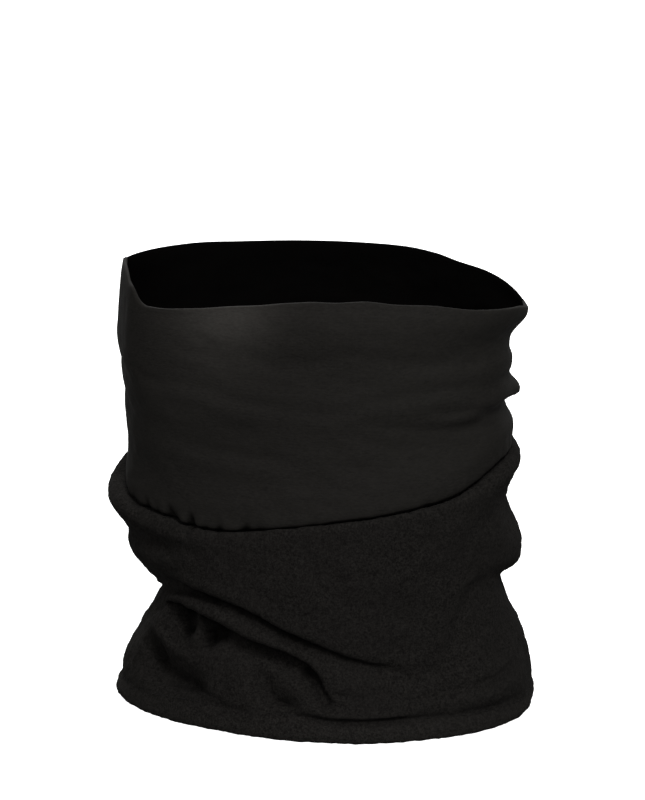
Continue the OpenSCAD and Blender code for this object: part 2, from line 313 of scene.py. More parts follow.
def normals(sheet):
    """Unit normals of a sheet that closes round its second axis."""
    around = np.roll(sheet, -1, 1) - np.roll(sheet, 1, 1)
    normal = np.cross(around, np.gradient(sheet, axis=0))
    return normal / np.maximum(np.linalg.norm(normal, axis=2, keepdims=True), 1e-9)


def rows_to_points(angle, rows):
    """Control points of (half width, offset, height) rows, with the row's number as a fourth
    value, which tells a fold's layers apart."""
    return np.array([
        np.concatenate([place(angle, *row), np.full((len(angle), 1), float(i))], -1)
        for i, row in enumerate(rows)])


# ---------------------------------------------------------------- fleece rows
def fold(angle, height, shut, below, above, puff, under, near):
    """Eleven control rows of a cloth fold whose upper layer hangs over the lower one, reaching
    below and above its height. puff rounds the upper layer's lip into a roll, under hollows the
    cloth below it, near brings that cloth up against the lip."""
    folded = [  # offset outwards and rise when fully shut
        (-2.0 - under + 1.2 * near, -below),
        (-4.9 - under + 2.2 * near, -(0.4 + 0.12 * near) * below),
        (-6.2 - 0.5 * under + near, 0.4 * LIP),
        (-6.2, LIP + 1.4), (-3.2, LIP + 1.9), (-2.6, 0.35 * LIP), (-2.6, -1.4),
        (-0.2, -3.3 * puff), (3.1 * puff, -1.9), (3.9 * puff, 0.34 * above), (1.9 * puff, above)]
    out = []
    for i, (off, rise) in enumerate(folded):
        flat = -below + (below + above) * i / 10
        out.append((half_width(angle, height + flat, FLEECE_SIDES), shut * off,
                    height + shut * rise + (1 - shut) * flat))
    return out


def fleece_outer_rows(angle):
    """Rows up the outer face, from the middle of the hem's underside to the join's allowance."""
    ditch, fold_b, fold_a, join = (f(angle) for f in (Z_DITCH, Z_FOLD_B, Z_FOLD_A, Z_JOIN))
    shut_a, shut_b = SHUT_A(angle), SHUT_B(angle)

    def width(z):
        return half_width(angle, z, FLEECE_SIDES)

    swell = 0.4 + 0.5 * bell(angle, 277, 14) - 1.5 * bell(angle, 318, 20)
    rows = [(width(0), -2.8, 0), (width(0), -0.9, 0.05), (width(1), 0.9, 0.9),
            (width(4), 0.8, 4), (width(ditch - 2), -0.1, ditch - 2.3),
            (width(ditch), -DITCH_DEEP(angle), ditch), (width(ditch + 2), swell, ditch + 2.1)]
    gap = np.clip(fold_a - fold_b, 6, 60)
    below_b = np.clip(0.5 * (fold_b - ditch - 2.5), 1.0, 7.0)
    above_b = np.clip(0.45 * gap, 2.8, 6.0)
    below_a = np.clip(0.40 * gap, 2.5, 7.0)
    above_a = 8.0
    bottom = ditch + 2.8
    for f in (0.28, 0.56, 0.84):
        z = bottom + f * np.maximum(fold_b - below_b - bottom, 0.6)
        rows.append((width(z), -2.8 * shut_b * smooth(f, 0.1, 1.0), z))
    rows += fold(angle, fold_b, shut_b, below_b, above_b, puff=0.9, under=1.8, near=0.0)
    middle = (fold_b + above_b + fold_a - below_a) / 2
    rows.append((width(middle), 0.5 * shut_b, middle))
    rows += fold(angle, fold_a, shut_a, below_a, above_a, puff=0.8, under=0.0, near=1.0)
    top = join - 7.0
    for f in (0.2, 0.4, 0.6, 0.8):
        z = (fold_a + above_a) + f * (top - fold_a - above_a)
        rows.append((width(z), 0, z))
    at_join = join_width(angle)
    cut, gape = nick(angle), OPEN(angle)
    return rows + [
        (width(join - 6), 0.4, join - 6),
        (width(join - 3), 0.9 - 0.25 * cut, join - 3.2),
        (width(join - 1), 0.8 - 0.7 * cut, join - 0.5 - 0.2 * cut),
        (width(join - 0.6), -0.3 - 0.8 * gape - cut, join + 1.0 - 0.5 * cut),
        (at_join, -1.6, join + 0.2), (at_join, -3.4, join - 0.7), (at_join, -5.2, join - 0.5),
        (at_join, -FLANGE, join - 0.5)]


def behind_fold_a(angle, z):
    """How far the inner face stands back behind fold A."""
    return 5.6 * SHUT_A(angle) * plateau(z - Z_FOLD_A(angle) - 2, 9)


def fleece_inner_rows(angle):
    """Rows from the allowance's raw edge down the inside, round the turned-up hem, to the
    underside."""
    ditch, fold_b, join = Z_DITCH(angle), Z_FOLD_B(angle), Z_JOIN(angle)
    at_join = join_width(angle)
    rib = plateau(np.abs(turn(angle, SEAM)), 2.0)   # the side seam's allowance
    turned = -2 * FLEECE_T                          # inner face of the doubled hem

    def width(z):
        return half_width(angle, z, FLEECE_SIDES)

    def deep(z):
        return (-FLEECE_T - behind_fold_a(angle, z)
                - 5.2 * SHUT_B(angle) * plateau(z - fold_b, 8) - SEAM_RIB * rib)

    rows = [(at_join, -FLANGE, join - 3.0), (at_join, -5.6, join - 3.2),
            (width(join - 5), -FLEECE_T - 0.8, join - 4.8)]
    stop = ditch + 7.6
    for f in (0.12, 0.24, 0.36, 0.48, 0.58, 0.68, 0.78, 0.88, 1.0):
        z = (join - 5.5) + f * (stop + 1.5 - join + 5.5)
        rows.append((width(z), deep(z), z))
    return rows + [
        (width(stop), -FLEECE_T - 2.2 * rib, stop + 0.4),
        (width(stop), turned + 0.4 - rib, stop + 0.6),
        (width(stop - 1), turned - rib, stop - 1.6),
        (width(ditch + 2), turned - rib, ditch + 2.2),
        (width(ditch), turned + 1.8 - rib, ditch),
        (width(ditch - 2), turned - 0.3 - rib, ditch - 2.2),
        (width(4), turned - 0.2 - rib, 3.6), (width(0), turned + 0.3, 0.7),
        (width(0), -4.2, 0.02)]


# ---------------------------------------------------------------- dents of the fleece
# Swells and hollows: angle, height, amount, half-angle, half-height
LOWER_SPOTS = [
    (206, 40, 3.4, 5.0, 7.5), (206.5, 24, -1.5, 4.5, 7.0), (245.5, 27, 2.6, 4.4, 8.5),
    (261, 25.5, 2.2, 3.4, 6.5)]
SHOWN_SPOTS = [
    (292, 58, -1.3, 6, 9), (322, 22, 1.4, 14, 6), (198, 78, -1.0, 8, 5), (280, 74, 0.8, 16, 10),
    (277, 27, 1.2, 8, 7), (345, 86, -0.8, 10, 8), (285, 48, 0.7, 12, 7), (40, 40, -1.6, 12, 9),
    (62, 68, 1.4, 12, 8), (112, 44, -1.5, 10, 9), (128, 72, 1.5, 12, 9), (150, 34, -1.6, 12, 8),
    (100, 92, -1.0, 12, 7), (25, 92, -1.2, 10, 7), (150, 88, 1.2, 10, 8)]
# Ridges and valleys: path {angle: height}, half width, amount
LOWER_CREASES = [
    # lower edge of the pouch
    ({193: 44, 199: 40, 206: 35.5, 213: 32.6, 221: 31, 229: 31.2}, 2.8, 1.8),
    # hollow beneath it
    ({201: 36, 203: 30, 206: 24.5, 211: 20.6, 217.5: 18, 225: 16.8, 234: 15.8}, 7.4, -7.7),
    ({225: 14.2, 231: 14.2, 237: 13.4, 241: 12.4}, 2.6, -1.4),
    # crease inside the pouch
    ({225: 52, 227.4: 47, 228.4: 42.5, 226.4: 38.6, 222: 36}, 2.7, 2.6),
    ({215: 53, 218: 47.5, 220.4: 42.5, 219: 37.6}, 5.4, -5.4),
    ({237.5: 49, 235.8: 45.4, 232.8: 41.6, 228.6: 37.8}, 4.8, -7.4),
    ({236: 39, 244: 37.4, 252: 35.8, 260: 31.4, 265: 26}, 5.0, -3.0),
    ({249: 31, 251.6: 25, 253.6: 19.5, 257.5: 15.6, 263: 13}, 4.8, -4.6),
    ({265: 34, 267.6: 28, 269.4: 22, 271.4: 15}, 3.2, -3.0)]
SHOWN_CREASES = [
    ({348: 60, 336: 63, 326: 66, 317: 67, 309.5: 64.5, 304: 58.5, 301: 50, 300: 42, 298: 34},
     1.5, 0.42),
    ({340: 54, 326: 59, 315: 59, 309: 52, 306: 43}, 4.0, -0.15),
    ({310: 16, 319: 18.4, 328: 22, 338: 27}, 4.0, 0.7),
    ({290: 16.4, 302: 15.8, 316: 15.2, 330: 15, 342: 16}, 3.6, 1.0),
    ({197: 92, 204: 89, 209.5: 84, 215: 79, 221: 72}, 3.0, -1.1),
    ({190: 82, 199: 79, 206: 73, 212: 66}, 3.0, 0.8)]
CREASE_FADE = 0.22   # share of a crease over which each of its ends fades
MM_PER_DEGREE = 1.5  # length of a degree along the cloth


def stroke(angle, z, path, wide, high):
    """A soft ridge (high > 0) or valley (high < 0) along a path, wide to either side."""
    path = np.array(list(path.items()), float)
    centre = path[:, 0].mean()
    x = turn(angle, centre) * MM_PER_DEGREE
    path_x, path_z = turn(path[:, 0], centre) * MM_PER_DEGREE, path[:, 1]
    length = np.concatenate([[0], np.cumsum(np.hypot(np.diff(path_x), np.diff(path_z)))])
    along = np.linspace(0, length[-1], max(12, int(length[-1] / 1.2)))
    fine_x, fine_z = pchip(length, path_x, along), pchip(length, path_z, along)
    best, share = np.full(np.shape(x), 1e9), np.zeros(np.shape(x))
    for i in range(len(along)):
        off_x, off_z = x - fine_x[i], z - fine_z[i]
        square = off_x * off_x + off_z * off_z
        nearer = square < best
        best = np.where(nearer, square, best)
        share = np.where(nearer, along[i] / length[-1], share)
    ends = smooth(share, 0, CREASE_FADE) * (1 - smooth(share, 1 - CREASE_FADE, 1)) * 0.97 + 0.03
    return high * ends * np.exp(-((np.sqrt(best) / wide) ** 2))


def dents(angle, z, layer):
    """Sum of the spots and creases. The lower ones keep to the ground below fold B, the shown
    ones leave the inside of both folds alone. layer is the control row's number."""
    ground = 1 - smooth(layer, 11.6, 13.2)
    inside_b = smooth(layer, 11.5, 13) * (1 - smooth(layer, 17, 18.5))
    inside_a = smooth(layer, 23.5, 25) * (1 - smooth(layer, 29, 30.5))
    shown = 1 - inside_b - inside_a
    total = 0.0
    for spots, mask in ((LOWER_SPOTS, ground), (SHOWN_SPOTS, shown)):
        for centre, height, amount, wide, tall in spots:
            total = total + (mask * amount * bell(angle, centre, wide)
                             * np.exp(-(((z - height) / tall) ** 2)))
    for creases, mask in ((LOWER_CREASES, ground), (SHOWN_CREASES, shown)):
        for path, wide, high in creases:
            total = total + mask * stroke(angle, z, path, wide, high)
    return total


# ---------------------------------------------------------------- fleece sheet
def seam_groove(angle):
    """The vertical seam line on the outside, at the back."""
    depth, width, mm_per_degree = 0.9, 1.1, 1.45
    return -depth * np.exp(-((turn(angle, SEAM) * mm_per_degree / width) ** 2))


def fleece_sheet(angle, outer_count, inner_count):
    """Outer face, inner face, and the control row number at each outer point."""
    outer = respace(loft(rows_to_points(angle, fleece_outer_rows(angle)), 8), outer_count)
    outer, layer = outer[..., :3], outer[..., 3]
    normal = normals(outer)
    z = upright(outer)
    around = np.broadcast_to(angle, z.shape)
    below_join = 1 - smooth(z, Z_JOIN(angle) - 9, Z_JOIN(angle) - 3)
    above_hem = smooth(z, Z_DITCH(angle) - 1, Z_DITCH(angle) + 5)
    outer = outer + normal * (dents(around, z, layer) * above_hem * below_join)[..., None]
    # broad random softness
    soft = 0.9 * noise(outer, 34, 3) + 0.45 * noise(outer, 15, 5)
    body = smooth(z, 9, 16) * below_join
    outer = outer + normal * (soft * body + seam_groove(around) * smooth(z, 1, 4))[..., None]
    inner = respace(loft(rows_to_points(angle, fleece_inner_rows(angle)), 6), inner_count)
    return outer, give_way(angle, outer, inner[..., :3]), layer


def give_way(angle, outer, inner):
    """The inner face moves towards the axis where the outer one would come too near."""
    outer_r = np.hypot(outer[..., 0], outer[..., 1])
    inner_r = np.hypot(inner[..., 0], inner[..., 1])
    need = np.zeros(inner_r.shape)
    for j in range(inner_r.shape[1]):
        close = np.abs(outer[:, j, 2][None, :] - inner[:, j, 2][:, None]) < 2.2
        nearest = np.where(close, outer_r[:, j][None, :], 1e3).min(1)
        need[:, j] = inner_r[:, j] + FACE_GAP - nearest
    z = upright(inner)
    need = (np.maximum(need, 0) * smooth(z, Z_DITCH(angle), Z_DITCH(angle) + 3)
            * (1 - smooth(z, Z_JOIN(angle) - 10, Z_JOIN(angle) - 6)))
    for _ in range(5):
        spread = (np.roll(need, 1, 1) + np.roll(need, -1, 1)
                  + np.concatenate([need[:1], need[:-1]])
                  + np.concatenate([need[1:], need[-1:]])) / 4
        need = np.maximum(need, spread)
    out = inner.copy()
    out[..., :2] *= ((inner_r - need) / inner_r)[..., None]
    return out


# ---------------------------------------------------------------- jersey sheet
# Valley lines: path {angle: height}, depth, half width, and the angles where they start and stop
WRINKLES = [
    ({200: 158, 210: 157, 232: 155, 248: 149.5, 263: 147.3, 271: 147, 284: 150.5, 308: 153,
      334: 149.5, 352: 144.5, 365: 142}, 0.66, 3.0, 204, 368),
    ({296: 145, 303: 143.4, 315: 141.8, 333: 137.6, 350: 136.5, 372: 137}, 0.55, 2.0, 298, 385),
    ({276: 140, 284: 139, 301: 136.6, 315: 134.6, 333: 131, 360: 130, 380: 131},
     0.55, 2.2, 280, 392),
    ({222: 171, 231: 170, 246: 169, 263: 168.5, 274: 171, 294: 167, 330: 162, 355: 160.5},
     0.45, 3.4, 225, 368),
    ({215: 131, 240: 127, 262: 125}, 0.5, 3.5, 216, 262),
    ({330: 152, 345: 150, 372: 149.5}, 0.7, 1.8, 325, 384),
    ({380: 150, 410: 153, 440: 151, 470: 155}, 0.8, 3.0, 370, 480),
    ({395: 167, 430: 163, 465: 166, 500: 161}, 0.7, 3.5, 385, 505),
    ({420: 141, 455: 138, 490: 142, 530: 136}, 0.8, 3.0, 405, 545),
    ({485: 158, 510: 162, 535: 160, 555: 156}, 0.7, 3.2, 480, 566),
]


def wrinkle(angle, z):
    """Valleys with a raised lip on either side, and a pointed tip at the right end."""
    total = np.zeros_like(z)
    for path, depth, wide, start, stop in WRINKLES:
        along = (angle - start) % 360.0 + start
        line = pchip(list(path), list(path.values()), along)
        span = smooth(along, start, start + 14) * (1 - smooth(along, stop - 12, stop))
        x = (z - line) / wide
        total += 0.62 * span * depth * (
            -np.exp(-(x**2)) + 0.7 * np.exp(-(((x + 2.0) / 1.25) ** 2))
            + 0.25 * np.exp(-(((x - 2.2) / 1.3) ** 2)))
    tip = np.exp(-(((z - 140.6) / np.where(z > 140.6, 3.4, 1.1)) ** 2)) * bell(angle, 0, 9)
    return total + 4.2 * tip


def jersey_rows(angle):
    """Rows up the outer face to the rim's edge, and down the inner face."""
    join, rim = Z_JOIN(angle), Z_RIM(angle)
    at_join = join_width(angle)
    cut, gape = nick(angle), OPEN(angle)
    # the rim leans in a little, most of all left of the middle of the front
    lean = 0.5 + 1.9 * bell(angle, 243, 17) + 0.5 * bell(angle, 285, 30)

    def width(z):
        return half_width(angle, z, JERSEY_SIDES)

    def tuck(z):
        return -lean * smooth(z, rim - 10, rim + 2) * 1.25

    def wall(share):
        return join + 3.5 + share * (rim - join - 5.5)

    outer = [(at_join, -FLANGE, join + 0.1), (at_join, -5.4, join + 0.1),
             (at_join, -3.6, join + 0.2),
             (at_join, -1.3 - 0.7 * gape - 1.1 * cut, join + 0.8 + 0.3 * cut),
             (width(join + 2.2), 0.75 - 1.0 * gape - 0.75 * cut,
              join + 1.8 + 0.5 * gape + 0.6 * cut)]
    outer += [(width(z), tuck(z), z) for z in map(wall, np.linspace(0.04, 0.955, 27))]
    at_rim, edge = width(rim - 1), tuck(rim)
    outer += [(at_rim, edge + 0.05, rim - 1.6), (at_rim, edge + 0.05, rim - 0.3),
              (at_rim, edge - 0.5, rim + 0.35), (at_rim, edge - 1.1, rim + 0.35)]
    inner = [(at_rim, edge - 1.7, rim + 0.3), (at_rim, edge - 2.1, rim - 0.5),
             (at_rim, edge - 2.2, rim - 2.2)]
    inner += [(width(z), tuck(z) - 2.5, z) for z in map(wall, np.linspace(0.95, 0.06, 14))]
    inner += [(width(join + 4), -3.0, join + 4.4), (at_join, -4.4, join + 2.6),
              (at_join, -5.8, join + 2.3), (at_join, -FLANGE, join + 2.2)]
    return outer, inner


def jersey_sheet(angle, outer_count, inner_count):
    join, rim = Z_JOIN(angle), Z_RIM(angle)
    sheets = [respace(loft(rows_to_points(angle, rows), 6), count)[..., :3]
              for rows, count in zip(jersey_rows(angle), (outer_count, inner_count))]
    for sheet, share in zip(sheets, (1.0, -0.75)):
        normal = normals(sheet)
        z = upright(sheet)
        around = np.broadcast_to(angle, z.shape)
        body = smooth(z, join + 2, join + 9) * (1 - smooth(z, rim - 5, rim - 1))
        soft = (0.55 * noise(sheet * [1, 1, 2.0], 44, 11)
                + 0.16 * noise(sheet * [1, 1, 2.4], 19, 12)
                + 0.05 * noise(sheet * [0.5, 0.5, 1.6], 6, 13))
        flat = np.stack([around * 1.5, z * 0.3, 0 * z], -1)
        pucker = 0.30 * noise(flat, 4.2, 9) * np.exp(-((z - join - 4.0) / 3.6) ** 2)
        moved = share * (wrinkle(around, z) * body + soft * body + pucker)
        sheet += normal * moved[..., None]
    return sheets


# ---------------------------------------------------------------- meshes
def add_object(name, mesh):
    mesh.polygons.foreach_set("use_smooth", np.ones(len(mesh.polygons), bool))
    obj = bpy.data.objects.new(name, mesh)
    bpy.context.scene.collection.objects.link(obj)
    return obj


def quads(index):
    """Faces of a grid of vertex numbers that closes round its second axis."""
    low, high = index[:-1], index[1:]
    return np.stack([low, np.roll(low, -1, 1), np.roll(high, -1, 1), high], -1).reshape(-1, 4)


def quad_object(name, verts, faces, uvs=None):
    mesh = bpy.data.meshes.new(name)
    verts, faces = np.asarray(verts, float).reshape(-1, 3), np.asarray(faces, np.int32)
    corners = faces.shape[1]
    mesh.vertices.add(len(verts))
    mesh.vertices.foreach_set("co", (verts * MM).astype(np.float32).ravel())
    mesh.loops.add(faces.size)
    mesh.loops.foreach_set("vertex_index", faces.ravel())
    mesh.polygons.add(len(faces))
    mesh.polygons.foreach_set("loop_start", np.arange(0, faces.size, corners, dtype=np.int32))
    mesh.polygons.foreach_set("loop_total", np.full(len(faces), corners, np.int32))
    mesh.update(calc_edges=True)
    mesh.validate()
    if uvs is not None:
        layer = mesh.uv_layers.new(name="cloth")
        layer.data.foreach_set("uv", np.asarray(uvs, np.float32).ravel())
    return add_object(name, mesh)


def polygon_object(name, verts, faces):
    mesh = bpy.data.meshes.new(name)
    mesh.from_pydata((verts * MM).tolist(), [], faces)
    mesh.validate()
    return add_object(name, mesh)


def run_length(line):
    return np.concatenate([[0], np.cumsum(np.linalg.norm(np.diff(line, axis=0), axis=1))])


def closed_sheet(name, sheet):
    """One solid from a sheet that closes round both axes. UVs are millimetres along the cloth."""
    rows, columns = sheet.shape[:2]
    index = np.arange(rows * columns).reshape(rows, columns)
    faces = quads(np.concatenate([index, index[:1]]))
    ring_line, column_line = sheet[rows // 3], sheet[:, columns // 2]
    uv = np.stack(np.meshgrid(run_length(np.concatenate([ring_line, ring_line[:1]])),
                              run_length(np.concatenate([column_line, column_line[:1]]))), -1)
    corners = np.stack([uv[:-1, :-1], uv[:-1, 1:], uv[1:, 1:], uv[1:, :-1]], 2).reshape(-1, 2)
    return quad_object(name, sheet.reshape(-1, 3), faces, corners)


def tubes(name, paths, radius):
    """Round threads along many short paths, with closed, rounded ends, as one piece."""
    sides = 8
    around = np.arange(sides) * 2 * math.pi / sides
    verts, faces, base = [], [], 0
    for path in paths:
        path = np.asarray(path, float)
        tangent = np.gradient(path, axis=0)
        tangent /= np.maximum(np.linalg.norm(tangent, axis=1, keepdims=True), 1e-9)
        first, last = tangent[:1], tangent[-1:]
        # two extra rings at each end round it off
        centres = np.concatenate([
            path[:1] - first * radius * 0.55, path[:1] - first * radius * 0.25, path,
            path[-1:] + last * radius * 0.25, path[-1:] + last * radius * 0.55])
        heading = np.concatenate([first, first, tangent, last, last])
        radii = np.concatenate([[0.35, 0.8], np.ones(len(path)), [0.8, 0.35]]) * radius
        helper = np.array([0.0, 0.0, 1.0] if abs(heading[0][2]) < 0.8 else [1.0, 0.0, 0.0])
        x = np.cross(heading[0], helper)
        x /= np.linalg.norm(x)
        rings = []
        for k in range(len(centres)):
            x = x - heading[k] * (x @ heading[k])
            x /= max(np.linalg.norm(x), 1e-9)
            y = np.cross(heading[k], x)
            circle = np.cos(around)[:, None] * x + np.sin(around)[:, None] * y
            rings.append(centres[k] + radii[k] * circle)
        size = len(rings) * sides
        verts.append(np.concatenate(rings + [centres[:1], centres[-1:]]))
        index = base + np.arange(size).reshape(-1, sides)
        faces.append(quads(index))
        start, end = np.full(sides, base + size), np.full(sides, base + size + 1)
        faces.append(np.stack([np.roll(index[0], -1), index[0], start, start], -1))
        faces.append(np.stack([index[-1], np.roll(index[-1], -1), end, end], -1))
        base += size + 2
    # the caps' repeated corner makes them triangles
    polygons = [list(dict.fromkeys(face)) for face in np.concatenate(faces).tolist()]
    return polygon_object(name, np.concatenate(verts), polygons)


# ---------------------------------------------------------------- materials
class Nodes:
    """Builds the node tree of a material or of the world."""

    def __init__(self, owner):
        owner.use_nodes = True
        self.tree = owner.node_tree
        self.tree.nodes.clear()

    def fill(self, node, inputs):
        """Links sockets and sets plain values, by the input's name or index."""
        for key, value in inputs.items():
            if isinstance(value, bpy.types.NodeSocket):
                self.tree.links.new(value, node.inputs[key])
            else:
                node.inputs[key].default_value = value

    def add(self, kind, inputs={}, **settings):
        node = self.tree.nodes.new(kind)
        for key, value in settings.items():
            setattr(node, key, value)
        self.fill(node, inputs)
        return node

    def math(self, operation, *values):
        return self.add("ShaderNodeMath", dict(enumerate(values)), operation=operation).outputs[0]

    def stretch(self, coord, scale):
        return self.add("ShaderNodeMapping", {"Vector": coord, "Scale": scale}).outputs[0]

    def noise(self, coord, scale, detail, roughness=0.5):
        return self.add("ShaderNodeTexNoise", {
            "Vector": coord, "Scale": scale, "Detail": detail, "Roughness": roughness,
        }).outputs["Fac"]

    def mix(self, factor, first, second):
        """Mixes two colours; inputs 6 and 7 and output 2 are the node's colour sockets."""
        first, second = ((*c, 1) if isinstance(c, tuple) else c for c in (first, second))
        inputs = {"Factor": factor, 6: first, 7: second}
        return self.add("ShaderNodeMix", inputs, data_type="RGBA").outputs[2]

    def remap(self, value, low, high, to=(0.0, 1.0), kind="LINEAR"):
        return self.add("ShaderNodeMapRange", {
            "Value": value, "From Min": low, "From Max": high, "To Min": to[0], "To Max": to[1],
        }, interpolation_type=kind).outputs[0]

    def darken(self, colour, factor):
        inputs = {0: colour, "Scale": factor}
        return self.add("ShaderNodeVectorMath", inputs, operation="SCALE").outputs[0]

    def bump(self, height, strength, distance):
        inputs = {"Height": height, "Strength": strength, "Distance": distance}
        return self.add("ShaderNodeBump", inputs).outputs[0]


def new_material(name):
    material = bpy.data.materials.new(name)
    nodes = Nodes(material)
    output = nodes.add("ShaderNodeOutputMaterial")
    bsdf = nodes.add("ShaderNodeBsdfPrincipled")
    nodes.fill(output, {0: bsdf.outputs[0]})
    return material, nodes, bsdf


def fleece_material():
    material, nodes, bsdf = new_material("black_fleece")
    pos = nodes.add("ShaderNodeTexCoord").outputs["Object"]
    nub = nodes.noise(pos, scale=640.0, detail=3.0, roughness=0.6)
    fine = nodes.noise(pos, scale=1250.0, detail=4.0, roughness=0.75)
    hair = nodes.noise(nodes.stretch(pos, (1.0, 1.0, 0.45)), scale=3600.0, detail=2.0)
    wide = nodes.noise(pos, scale=38.0, detail=2.0)
    mottle = nodes.math("MULTIPLY_ADD", nub, 0.3, nodes.math("MULTIPLY", fine, 0.7))
    colour = nodes.mix(nodes.remap(mottle, 0.40, 0.61),
                       (0.0034, 0.0032, 0.0029), (0.0168, 0.0157, 0.0144))
    colour = nodes.mix(nodes.math("MULTIPLY", nodes.remap(wide, 0.30, 0.75), 0.35),
                       colour, (0.0102, 0.0094, 0.0089))
    # painted light: the turned hem's colour is up to 1.22 times lighter below 13 mm, fading out from
    # 5 mm up, standing in for light bounced up from the floor
    height = nodes.add("ShaderNodeSeparateXYZ", {"Vector": pos}).outputs[2]
    painted_floor_bounce = nodes.remap(height, 0.005, 0.013, to=(1.22, 1.0), kind="SMOOTHSTEP")
    floor_bounce_lit = nodes.darken(colour, painted_floor_bounce)
    # painted shade: the colour is darkened in creases and hollows, down to 0.05 of itself, where
    # ambient occlusion within 11 mm finds cloth close by
    deep = nodes.add("ShaderNodeAmbientOcclusion", {"Distance": 0.011},
                     samples=8, only_local=True).outputs["AO"]
    painted_crease_shade = nodes.remap(deep, 0.38, 0.88, to=(0.05, 1.0), kind="SMOOTHSTEP")
    shut = nodes.darken(floor_bounce_lit, painted_crease_shade)
    relief = nodes.math("MULTIPLY_ADD", nub, 0.9, nodes.math(
        "MULTIPLY_ADD", fine, 0.55, nodes.math("MULTIPLY", hair, 0.25)))
    nodes.fill(bsdf, {
        "Base Color": shut, "Roughness": 0.97, "Specular IOR Level": 0.02,
        "Sheen Weight": 0.010, "Sheen Roughness": 0.6, "Sheen Tint": (0.9, 0.85, 0.82, 1),
        "Normal": nodes.bump(relief, strength=0.75, distance=0.0008)})
    return material


def jersey_material():
    material, nodes, bsdf = new_material("black_jersey")
    coords = nodes.add("ShaderNodeTexCoord")
    pos = coords.outputs["Object"]
    uv = nodes.add("ShaderNodeSeparateXYZ", {"Vector": coords.outputs["UV"]})
    # knit: V-shaped stitches in upright wales and level courses, sizes in millimetres
    wale_width, course_height, full_turn, half_turn = 0.62, 0.5, 6.2832, 3.1416
    wale = nodes.math("FRACT", nodes.math("DIVIDE", uv.outputs[0], wale_width))
    arm = nodes.math("ABSOLUTE", nodes.math("SUBTRACT", wale, 0.5))
    rise = nodes.math("ADD", nodes.math("DIVIDE", uv.outputs[1], course_height), arm)
    course = nodes.math("SINE", nodes.math("MULTIPLY", rise, full_turn))
    rib = nodes.math("SINE", nodes.math("MULTIPLY", wale, half_turn))
    knit = nodes.math("MULTIPLY", nodes.math("MULTIPLY_ADD", course, 0.3, rib), 0.14)
    grain = nodes.noise(nodes.stretch(pos, (0.55, 0.55, 1.6)),
                        scale=900.0, detail=4.0, roughness=0.7)
    slub = nodes.noise(nodes.stretch(pos, (0.16, 0.16, 2.0)),
                       scale=420.0, detail=3.0, roughness=0.6)
    wide = nodes.noise(nodes.stretch(pos, (0.6, 0.6, 1.4)), scale=30.0, detail=3.0)
    colour = nodes.mix(nodes.remap(grain, 0.30, 0.72),
                       (0.0062, 0.0059, 0.0053), (0.0160, 0.0150, 0.0136))
    colour = nodes.mix(nodes.math("MULTIPLY", nodes.remap(slub, 0.35, 0.80), 0.6),
                       colour, (0.0144, 0.0135, 0.0122))
    colour = nodes.mix(nodes.math("MULTIPLY", nodes.remap(wide, 0.30, 0.85), 0.5),
                       colour, (0.0128, 0.0119, 0.0107))
    # painted shade: the colour is darkened in creases, down to 0.12 of itself, where ambient
    # occlusion within 3.5 mm finds cloth close by
    near = nodes.add("ShaderNodeAmbientOcclusion", {"Distance": 0.0035}, samples=8).outputs["AO"]
    shade = nodes.remap(near, 0.30, 0.80, to=(0.12, 1.0), kind="SMOOTHSTEP")
    crease_shaded = nodes.darken(colour, shade)
    relief = nodes.math("MULTIPLY_ADD", knit, 0.5, nodes.math(
        "MULTIPLY_ADD", grain, 0.5, nodes.math("MULTIPLY", slub, 0.6)))
    nodes.fill(bsdf, {
        "Base Color": crease_shaded, "Roughness": 0.74, "Specular IOR Level": 0.05,
        "Sheen Weight": 0.006, "Sheen Roughness": 0.4, "Sheen Tint": (0.95, 0.9, 0.84, 1),
        "Normal": nodes.bump(relief, strength=0.5, distance=0.00025)})
    return material


def shaded_lining_material():
    """The jersey's inner face, brushed, its colour painted near-black: painted shade for the unlit
    inside of the collar.
    """
    material, nodes, bsdf = new_material("lining_painted_shade")
    pos = nodes.add("ShaderNodeTexCoord").outputs["Object"]
    fine = nodes.noise(pos, scale=1600.0, detail=4.0, roughness=0.7)
    wide = nodes.noise(nodes.stretch(pos, (0.5, 0.5, 1.5)), scale=60.0, detail=3.0)
    colour = nodes.mix(fine, (0.0010, 0.0009, 0.0009), (0.0022, 0.0021, 0.0020))
    colour = nodes.mix(nodes.remap(wide, 0.35, 0.9), colour, (0.0024, 0.0022, 0.0021))
    nodes.fill(bsdf, {
        "Base Color": colour, "Roughness": 1.0, "Specular IOR Level": 0.0,
        "Normal": nodes.bump(fine, strength=0.5, distance=0.0003)})
    return material


def thread_material():
    material, nodes, bsdf = new_material("black_thread")
    pos = nodes.add("ShaderNodeTexCoord").outputs["Object"]
    ply = nodes.add("ShaderNodeTexWave", {
        "Vector": nodes.stretch(pos, (1, 1, 1)), "Scale": 900.0, "Distortion": 1.5})
    fuzz = nodes.noise(pos, scale=5000.0, detail=2.0)
    colour = nodes.mix(fuzz, (0.0045, 0.0042, 0.0040), (0.011, 0.0104, 0.0096))
    nodes.fill(bsdf, {
        "Base Color": colour, "Roughness": 0.7, "Specular IOR Level": 0.08, "Sheen Weight": 0.0,
        "Normal": nodes.bump(ply.outputs["Fac"], strength=0.6, distance=0.00008)})
    return material


